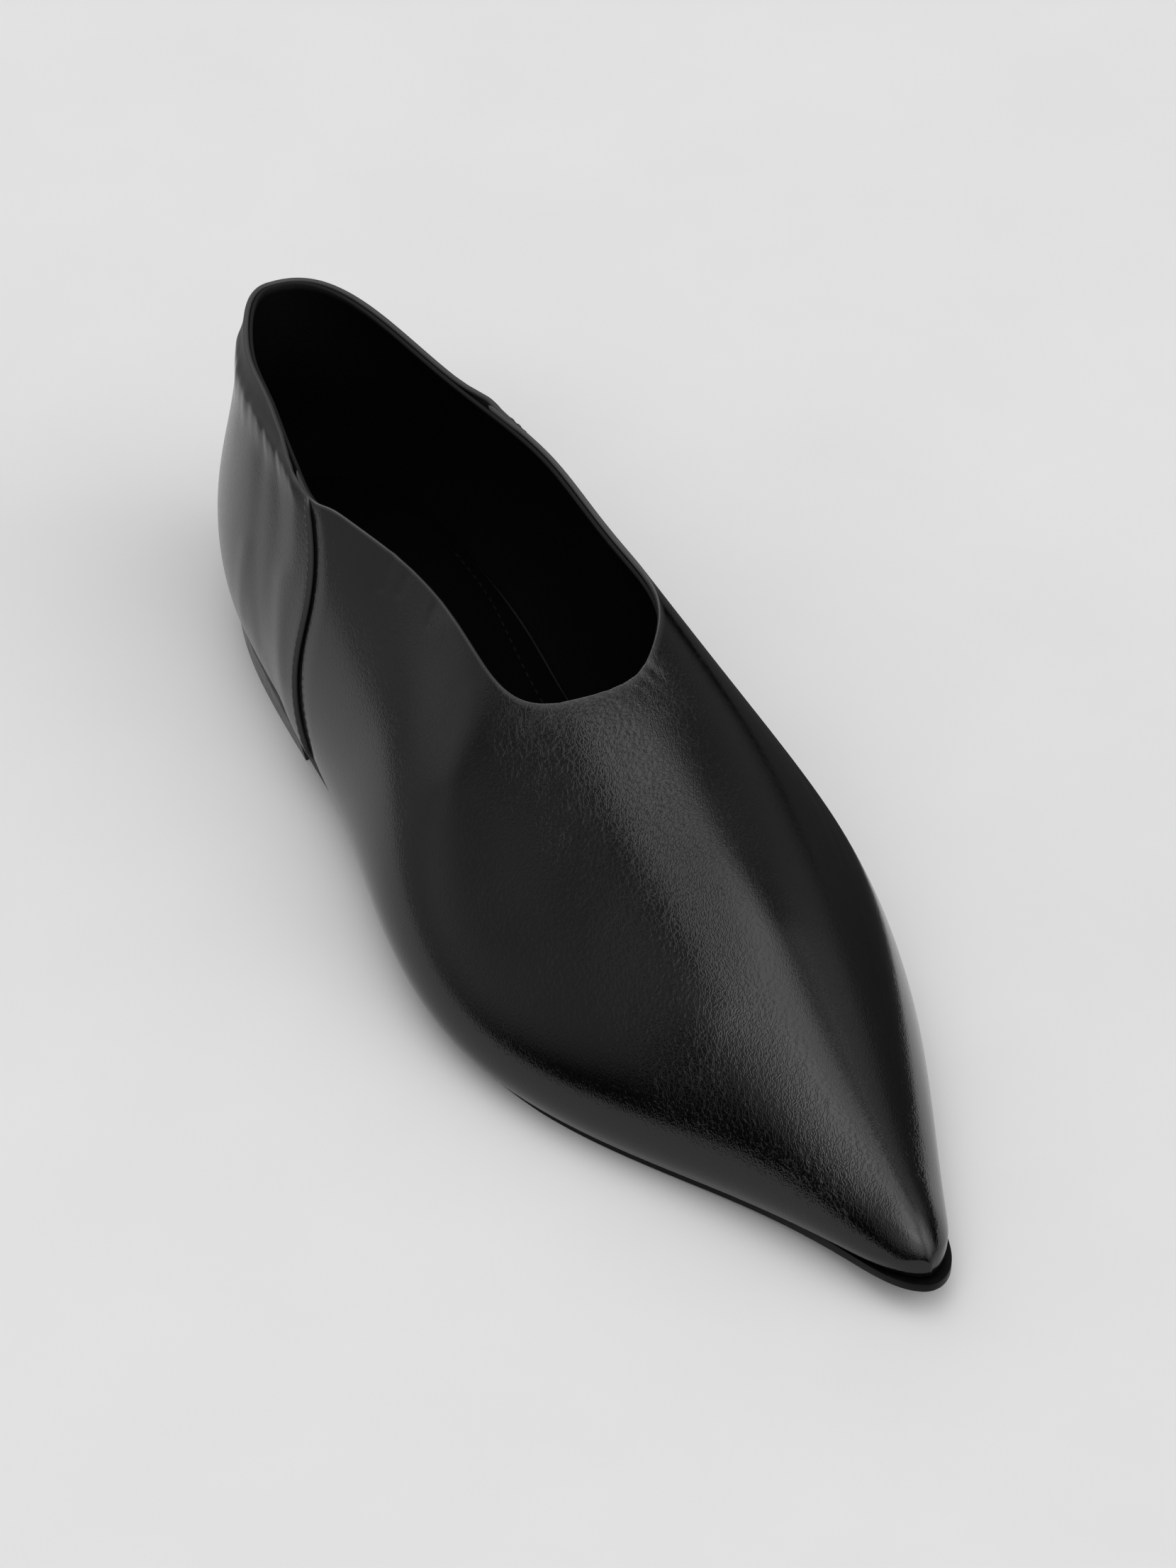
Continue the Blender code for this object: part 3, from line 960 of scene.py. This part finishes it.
@dataclass
class Quarter(Sheet):
    """The back of the upper, round the heel, lapped over the vamp at both side seams."""

    proud: float = 0.75
    proud_flat: float = 7.0
    proud_reach: float = 20.0
    proud_at_rim: float = 0.35
    rim_reach: float = 5.0
    ridge: float = 0.9
    ridge_drop: float = 6.6
    ridge_above: float = 2.4
    ridge_below: float = 4.2
    ridge_start: float = 12.0
    collar_run: float = 30.0
    ripple: float = 0.03
    ripple_drop: float = 5.0
    ripple_reach: float = 6.0
    band_low: float = 0.45
    band_high: float = 1.1
    band_fade: float = 0.4
    stitch_inset: float = 0.3
    band_end: float = 3.0
    collar_matt: float = 0.6
    collar_wide: float = 4.6
    collar_fade: float = 2.2

    def spot(self, a: Array, b: Array) -> tuple[Array, Array, Array]:
        """Wall coordinates: from the inner seam (0) round the heel to the outer seam (1)."""
        side = np.where(a <= 0.5, 1.0, -1.0)
        seam = np.where(side < 0, self.last.seam[Side.OUTER](b), self.last.seam[Side.INNER](b))
        u = np.abs(2 * a - 1) * seam
        return u, b * (1 - self.dip(u, side)), side

    def relief(self, points: Array, u: Array, v: Array, side: Array) -> Array:
        """Lift the front edges over the vamp, and roll the collar over a gathered ridge."""
        along = run_along(points, 1)
        to_seam = np.minimum(along, along[:, -1:] - along)
        lap = 1 - ease((to_seam - self.proud_flat) / (self.proud_reach - self.proud_flat))
        climb = run_along(points, 0)
        down = climb[-1:] - climb
        lap = lap * (self.proud_at_rim + (1 - self.proud_at_rim) * ease(down / self.rim_reach))
        top_run = along[-1:]
        top_seam = to_seam[-1:]
        band = self.ridge_drop * ease(top_seam / self.collar_run)
        fade = ease(top_seam / self.ridge_start)
        # Uneven gathers, a few millimetres apart
        gather = 0.85 + 0.09 * np.sin(top_run / 1.27 + 0.4) + 0.06 * np.sin(top_run / 0.71 + 2.0)
        width = np.where(down < band, self.ridge_above, self.ridge_below)
        roll = self.ridge * fade * gather * hump(down - band, width)
        wave = self.ripple * fade * np.sin(top_run / 1.6 + 0.6)
        return self.proud * lap + roll + wave * hump(down - band - self.ripple_drop, self.ripple_reach)

    def matt(self, points: Array) -> Array:
        """The raw band along both front edges, wider to the top, and the duller collar over its ridge."""
        along = run_along(points, 1)
        climb = run_along(points, 0)
        to_seam = np.minimum(along, along[:, -1:] - along)
        band = self.band_low + (self.band_high - self.band_low) * climb / climb[-1:]
        down = climb[-1:] - climb
        edge = (1 - ease((to_seam - band) / self.band_fade)) * ease(down / self.band_end)
        wide = self.collar_wide * ease(to_seam[-1:] / self.collar_run)
        collar = 1 - ease((down - wide) / self.collar_fade)
        return np.maximum(edge, self.collar_matt * collar)

    def edge_line(self, side: Side) -> tuple[Array, Array]:
        """The line on the outer face where the raw band beside one front edge ends.

        Args:
            side: which edge.

        Returns:
            Points from the feather line up to the topline, and the normals there.
        """
        step = 1 if side is Side.INNER else -1
        skin, normals = self.skin[:, ::step], self.normals[:, ::step]
        run = run_along(skin, 1)
        first = self.edge_cells + self.flat_rows + self.bend_rows
        spots, ups = [], []
        last_row = skin.shape[0] - self.edge_cells
        for i in range(first, last_row):
            inset = self.band_low + (self.band_high - self.band_low) * i / last_row + self.stitch_inset
            j = max(int(np.searchsorted(run[i], inset)), 1)
            share = (inset - run[i, j - 1]) / (run[i, j] - run[i, j - 1])
            spots.append(skin[i, j - 1] + share * (skin[i, j] - skin[i, j - 1]))
            ups.append(normals[i, j])
        return np.array(spots), np.array(ups)


@dataclass
class Lining(Sheet):
    """The lining, one loop inside the upper, with its folded edge beside the upper's own."""

    depth: float = 1.22
    drop: float = 0.006

    def spot(self, a: Array, b: Array) -> tuple[Array, Array, Array]:
        """Wall coordinates: from the throat along the inner side, round the heel and back."""
        side = np.where(a <= 0.5, 1.0, -1.0)
        u = np.abs(2 * a - 1)
        return u, b * (1 - self.drop) * (1 - self.dip(u, side)), side

    def relief(self, points: Array, u: Array, v: Array, side: Array) -> Array:
        """Lie inside the leather."""
        return np.full(u.shape, -self.depth)


def plate(bm: bmesh.types.BMesh, last: Last, start: float, end: float, grow: Curve, top: Curve,
          columns: int, across: int) -> tuple[Array, Array]:
    """Lay a flat grid along the feather line.

    Args:
        bm: the mesh that takes the grid.
        last: the last.
        start: turn where the grid starts.
        end: turn where it ends.
        grow: distance outside the feather line, over the turn.
        top: height of the grid over the place x.
        columns: cells along.
        across: cells across.

    Returns:
        The grid's shares along and across, one per vertex.
    """
    made = bmesh.ops.create_grid(bm, x_segments=columns, y_segments=across, size=0.5)["verts"]
    share = np.array([vert.co[:2] for vert in made]) + 0.5
    turn = start + share[:, 0] * (end - start)
    outer = last.outline(turn, -1, grow(turn))
    inner = last.outline(turn, 1, grow(turn))
    plan = outer + share[:, 1:] * (inner - outer)
    spots = metres(np.column_stack([plan, top(plan[:, 0])]))
    for vert, spot in zip(made, spots):
        vert.co = spot
    return share[:, 0], share[:, 1]


def round_rim(bm: bmesh.types.BMesh, width: float, segments: int) -> None:
    """Bevel every sharp edge of a closed mesh.

    Args:
        bm: the mesh.
        width: the bevel's width in millimetres.
        segments: its segments.
    """
    bmesh.ops.remove_doubles(bm, verts=bm.verts, dist=0.00002)
    bmesh.ops.dissolve_degenerate(bm, edges=bm.edges, dist=0.00001)
    bmesh.ops.recalc_face_normals(bm, faces=bm.faces)
    sharp = [edge for edge in bm.edges if edge.is_manifold and edge.calc_face_angle() > math.radians(50)]
    bmesh.ops.bevel(bm, geom=sharp, offset=width * MM, offset_type="OFFSET", segments=segments,
                    profile=0.5, affect="EDGES", material=-1, clamp_overlap=True)


def extruded(bm: bmesh.types.BMesh) -> list[bmesh.types.BMVert]:
    """Extrude every face of a mesh, in place.

    Args:
        bm: the mesh.

    Returns:
        The vertices of the new cap, which still lie on the old ones.
    """
    made = bmesh.ops.extrude_face_region(bm, geom=bm.faces[:])["geom"]
    return [item for item in made if isinstance(item, bmesh.types.BMVert)]


@dataclass
class Stitching:
    """A row of thread stitches along a line, in millimetres."""

    name: str
    slot: str
    pitch: float
    long: float
    wide: float
    high: float
    slant: float

    def add_row(self, bm: bmesh.types.BMesh, line: Array, normals: Array) -> None:
        """Lay stitches along a line.

        Args:
            bm: the mesh that takes them.
            line: points of the line.
            normals: the surface's normals there.
        """
        run = np.concatenate([[0], np.cumsum(np.linalg.norm(np.diff(line, axis=0), axis=1))])
        for at in np.arange(self.pitch / 2, run[-1], self.pitch):
            spot = np.array([np.interp(at, run, line[:, k]) for k in range(3)])
            ahead = np.array([np.interp(at + 0.5, run, line[:, k]) for k in range(3)])
            up = Vector([np.interp(at, run, normals[:, k]) for k in range(3)]).normalized()
            way = Vector(ahead - np.array([np.interp(at - 0.5, run, line[:, k]) for k in range(3)]))
            way = Matrix.Rotation(math.radians(self.slant), 3, up) @ (way - up * way.dot(up)).normalized()
            turn = Matrix((way, up.cross(way), up)).transposed().to_4x4()
            size = Matrix.Diagonal((self.long / 2 * MM, self.wide / 2 * MM, self.high / 2 * MM, 1))
            bmesh.ops.create_icosphere(bm, subdivisions=2, radius=1.0,
                                       matrix=Matrix.Translation(metres(spot)) @ turn @ size)

    def build(self, rows: list[tuple[Array, Array]], finish: Moulded) -> bpy.types.Object:
        """Make one piece of several rows of stitches.

        Args:
            rows: for each row, the points of its line and the normals there.
            finish: the thread.

        Returns:
            The piece.
        """
        bm = bmesh.new()
        for line, normals in rows:
            self.add_row(bm, line, normals)
        return link_piece(bm, self.name, finish.make(), self.slot)


class SockEdge(NamedTuple):
    """One place on the sock's edge: how far it lies in from the feather line."""

    x: float
    inset: float


SOCK_EDGE = [SockEdge(0, 3.2), SockEdge(40, 3.2), SockEdge(60, 3.6), SockEdge(74, 4.9), SockEdge(92, 5.7),
             SockEdge(120, 6.0), SockEdge(266, 6.0)]


@dataclass
class Bottom:
    """What the upper stands on: outsole and heel block, and the insole with its sock inside."""

    last: Last
    sole_top: float = -1.0
    sole_low: float = -3.3
    sole_round: float = 0.45
    lip_from: float = 215.0
    lip_thin: float = 0.8
    heel_breast: float = 74.0
    heel_tuck: float = 1.2
    heel_taper: float = 0.93
    heel_top: float = -3.6
    breast_hollow: float = 3.0
    heel_round: float = 0.7
    insole_top: float = 1.4
    insole_low: float = 0.2
    insole_round: float = 0.4
    insole_inset: float = 1.7
    insole_end: float = 255.0
    sock_top: float = 2.0
    sock_round: float = 0.28
    sock_end: float = 236.0
    stitch_inset: float = 1.0
    stitch_from: float = 42.0
    stitch_to: float = 205.0

    def build_outsole(self) -> bpy.types.Object:
        """Thin sole, lipped at the toe and drawn in at the waist.

        Returns:
            The piece.
        """
        edge = spline([row.x for row in SOLE_EDGE], [row.out for row in SOLE_EDGE])
        bm = bmesh.new()
        plate(bm, self.last, 0.0, math.pi, lambda turn: edge(x_of(turn)),
              lambda x: self.last.seat(x) + self.sole_top, 150, 10)
        for vert in extruded(bm):
            ahead = (vert.co.x / MM + ORIGIN[0] - self.lip_from) / (LENGTH - self.lip_from)
            drop = self.sole_top - self.sole_low - self.lip_thin * float(ease(ahead))
            vert.co.z = max(vert.co.z - drop * MM, 0)
        round_rim(bm, self.sole_round, 3)
        return link_piece(bm, "outsole_edge", SOLE.make(), "outsole", "outsole")

    def build_heel(self) -> bpy.types.Object:
        """Low heel block, tapered to the floor and hollowed at its front face.

        Returns:
            The piece.
        """
        bm = bmesh.new()
        tuck = self.heel_tuck
        along, across = plate(
            bm, self.last, 0.0, float(turn_of(self.heel_breast)), lambda turn: 0 * turn - tuck,
            lambda x: self.last.seat(x) + self.heel_top, 48, 14)
        for vert, u, v in zip(bm.verts, along, across):
            vert.co.x -= self.breast_hollow * 4 * v * (1 - v) * u ** 2 * MM
        ys = [vert.co.y for vert in bm.verts]
        centre = (min(ys) + max(ys)) / 2
        for vert in extruded(bm):
            vert.co.y = centre + (vert.co.y - centre) * self.heel_taper
            vert.co.z = 0
        round_rim(bm, self.heel_round, 3)
        return link_piece(bm, "heel_block_lacquered", HEEL.make(), "heel", "heel_block")

    def build_insole(self) -> bpy.types.Object:
        """Covered insole board.

        Returns:
            The piece.
        """
        bm = bmesh.new()
        inset = self.insole_inset
        plate(bm, self.last, 0.0, float(turn_of(self.insole_end)), lambda turn: 0 * turn - inset,
              lambda x: self.last.seat(x) + self.insole_top, 110, 12)
        for vert in extruded(bm):
            vert.co.z -= (self.insole_top - self.insole_low) * MM
        round_rim(bm, self.insole_round, 2)
        return link_piece(bm, "insole_cover", SOCK.make(), "insole_leather", "insole")

    @staticmethod
    def sock_edge() -> Curve:
        """How far the sock's edge lies in from the feather line, over the place x."""
        return spline([row.x for row in SOCK_EDGE], [row.inset for row in SOCK_EDGE])

    def build_sock(self) -> bpy.types.Object:
        """Sock of thin leather on the insole, with a rolled edge.

        Returns:
            The piece.
        """
        edge = self.sock_edge()
        bm = bmesh.new()
        plate(bm, self.last, 0.0, float(turn_of(self.sock_end)), lambda turn: -edge(x_of(turn)),
              lambda x: self.last.seat(x) + self.sock_top, 110, 12)
        for vert in extruded(bm):
            vert.co.z -= (self.sock_top - self.insole_top) * MM
        round_rim(bm, self.sock_round, 3)
        return link_piece(bm, "sock", SOCK.make(), "insole_leather")

    def build_sock_stitches(self) -> bpy.types.Object:
        """Stitches along both edges of the sock.

        Returns:
            The piece.
        """
        edge = self.sock_edge()
        turn = np.linspace(turn_of(self.stitch_from), turn_of(self.stitch_to), 160)
        rows = []
        for side in (-1, 1):
            plan = self.last.outline(turn, side, -edge(x_of(turn)) - self.stitch_inset)
            line = np.column_stack([plan, self.last.seat(plan[:, 0]) + self.sock_top])
            rows.append((line, np.tile([0.0, 0.0, 1.0], (len(line), 1))))
        row = Stitching("sock_stitches", "insole_leather", pitch=2.8, long=1.9, wide=0.5, high=0.3, slant=0.0)
        return row.build(rows, SHADED_SOCK_THREAD)


@dataclass(frozen=True)
class Card:
    """A soft white card in the surroundings, in degrees seen from the shoe."""

    azimuth: float
    elevation: float
    reach: float
    level: float

    def direction(self, studio: Studio) -> Vector:
        """Direction of the card's middle; azimuth 0 is away from the camera, 90 to its right.

        Args:
            studio: the studio that it hangs in.

        Returns:
            The direction, of length 1.
        """
        away = Vector((-studio.eye[0], -studio.eye[1], 0)).normalized()
        right = Vector((away.y, -away.x, 0))
        turn, rise = math.radians(self.azimuth), math.radians(self.elevation)
        flat = away * math.cos(turn) + right * math.sin(turn)
        return flat * math.cos(rise) + Vector((0, 0, math.sin(rise)))


@dataclass
class Studio:
    """Pale floor, soft cards all round and overhead, and the camera at the photograph's angle, in metres.

    The cards' levels are rounded from a fit to the brightness of the photograph.
    """

    cards: tuple[Card, ...] = (
        Card(-135, 80, 28, 0.5),
        Card(-45, 80, 28, 1.3),
        Card(45, 80, 28, 0.3),
        Card(135, 80, 28, 0.2),
        Card(-160, 56, 28, 2.1),
        Card(-120, 56, 28, 0.4),
        Card(-40, 56, 28, 0.4),
        Card(0, 56, 28, 0.25),
        Card(80, 56, 28, 0.5),
        Card(120, 56, 28, 1.05),
        Card(160, 56, 28, 0.7),
        Card(-168, 32, 27, 1.3),
        Card(-144, 32, 27, 0.65),
        Card(-96, 32, 27, 0.35),
        Card(-48, 32, 27, 0.6),
        Card(-24, 32, 27, 0.3),
        Card(0, 32, 27, 0.45),
        Card(48, 32, 27, 0.3),
        Card(72, 32, 27, 0.25),
        Card(96, 32, 27, 1.1),
        Card(120, 32, 27, 1.25),
        Card(144, 32, 27, 0.75),
        Card(168, 32, 27, 0.55),
        Card(-75, 8, 28, 0.4),
        Card(-15, 8, 28, 1.0),
        Card(105, 8, 28, 0.5),
        Card(135, 8, 28, 0.45),
    )
    flag_centre: tuple[float, float, float] = (-0.025, 0.102, 0.02)
    flag_size: tuple[float, float, float] = (0.16, 0.06, 0.038)
    flag_turn: float = 14.8
    floor_size: float = 6.0
    floor_gap: float = 0.00005
    eye: tuple[float, float, float] = (0.62441, -0.31777, 0.56002)
    aim: tuple[float, float, float] = (0.00711, 0.00324, 0.028)
    lens: float = 107.27

    def build_floor(self) -> None:
        """Large sheet of pale paper just under the soles."""
        bm = bmesh.new()
        bmesh.ops.create_grid(bm, x_segments=8, y_segments=8, size=self.floor_size / 2)
        for vert in bm.verts:
            vert.co.z = -self.floor_gap
        mesh_object(bm, "studio_floor", PAPER.make())

    def build_flag(self) -> None:
        """Dark flag beside the inner wall, out of the camera's sight, that keeps its reflections deep."""
        bm = bmesh.new()
        place = Matrix.Translation(self.flag_centre) @ Matrix.Rotation(math.radians(self.flag_turn), 4, "Z")
        bmesh.ops.create_uvsphere(bm, u_segments=32, v_segments=16, radius=1.0,
                                  matrix=place @ Matrix.Diagonal((*self.flag_size, 1)))
        flag = mesh_object(bm, "studio_flag", VELVET.make())
        flag.visible_camera = flag.visible_shadow = flag.visible_diffuse = False

    def build_world(self) -> None:
        """Dark surroundings lit by the soft cards."""
        world = bpy.data.worlds.new("white_studio")
        world.use_nodes = True
        tree = world.node_tree
        way = add(tree, "ShaderNodeTexCoord").outputs["Generated"]
        level: Any = 0.0
        for card in self.cards:
            facing = add(tree, "ShaderNodeVectorMath", {0: way, 1: tuple(card.direction(self))},
                         operation="DOT_PRODUCT").outputs["Value"]
            share = add(tree, "ShaderNodeMapRange", {
                "Value": facing, "From Min": math.cos(math.radians(card.reach)), "From Max": 1.0},
                interpolation_type="SMOOTHSTEP").outputs[0]
            level = add(tree, "ShaderNodeMath", {0: share, 1: card.level, 2: level},
                        operation="MULTIPLY_ADD").outputs[0]
        glow = tree.nodes["Background"]
        glow.inputs["Color"].default_value = (1, 1, 1, 1)
        tree.links.new(level, glow.inputs["Strength"])
        bpy.context.scene.world = world

    def build_camera(self) -> None:
        """Camera at the photograph's place, aimed at the middle of the shoe."""
        lens = bpy.data.cameras.new("studio_camera")
        lens.lens = self.lens
        lens.sensor_width = 36.0
        lens.clip_start = 0.01
        camera = bpy.data.objects.new("studio_camera", lens)
        camera.location = self.eye
        camera.rotation_euler = (Vector(self.aim) - Vector(self.eye)).to_track_quat("-Z", "Y").to_euler()
        scene = bpy.context.scene
        scene.collection.objects.link(camera)
        scene.camera = camera
        scene.view_settings.view_transform = "Standard"


def main() -> None:
    """Load the frame, build the shoe and the studio, and log each piece's face count."""
    logging.basicConfig(level=logging.INFO, format="%(name)s: %(message)s")
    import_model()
    last = Last()
    vamp = Vamp(last, "vamp", 280, 110, 1.1, NAPPA, "upper_leather", creases=VAMP_CREASES)
    quarter = Quarter(last, "quarter", 240, 90, 1.1, NAPPA_BACK, "upper_leather", creases=QUARTER_CREASES)
    lining = Lining(last, "lining", 220, 44, 0.8, LINING, "upper_leather", closed=True, margin=0.0,
                    creases=VAMP_CREASES)
    bottom = Bottom(last)
    seam = Stitching("seam_stitches", "upper_leather", pitch=1.8, long=1.2, wide=0.32, high=0.3, slant=14.0)
    pieces = [
        vamp.build("upper"),
        quarter.build("upper"),
        lining.build("upper"),
        bottom.build_outsole(),
        bottom.build_heel(),
        bottom.build_insole(),
        bottom.build_sock(),
        bottom.build_sock_stitches(),
        seam.build([quarter.edge_line(side) for side in Side], THREAD),
    ]
    for piece in pieces:
        LOG.info("%s: %d faces", piece.name, len(piece.data.polygons))
    studio = Studio()
    studio.build_floor()
    studio.build_flag()
    studio.build_world()
    studio.build_camera()
    bpy.context.view_layer.update()


if __name__ == "__main__":
    main()
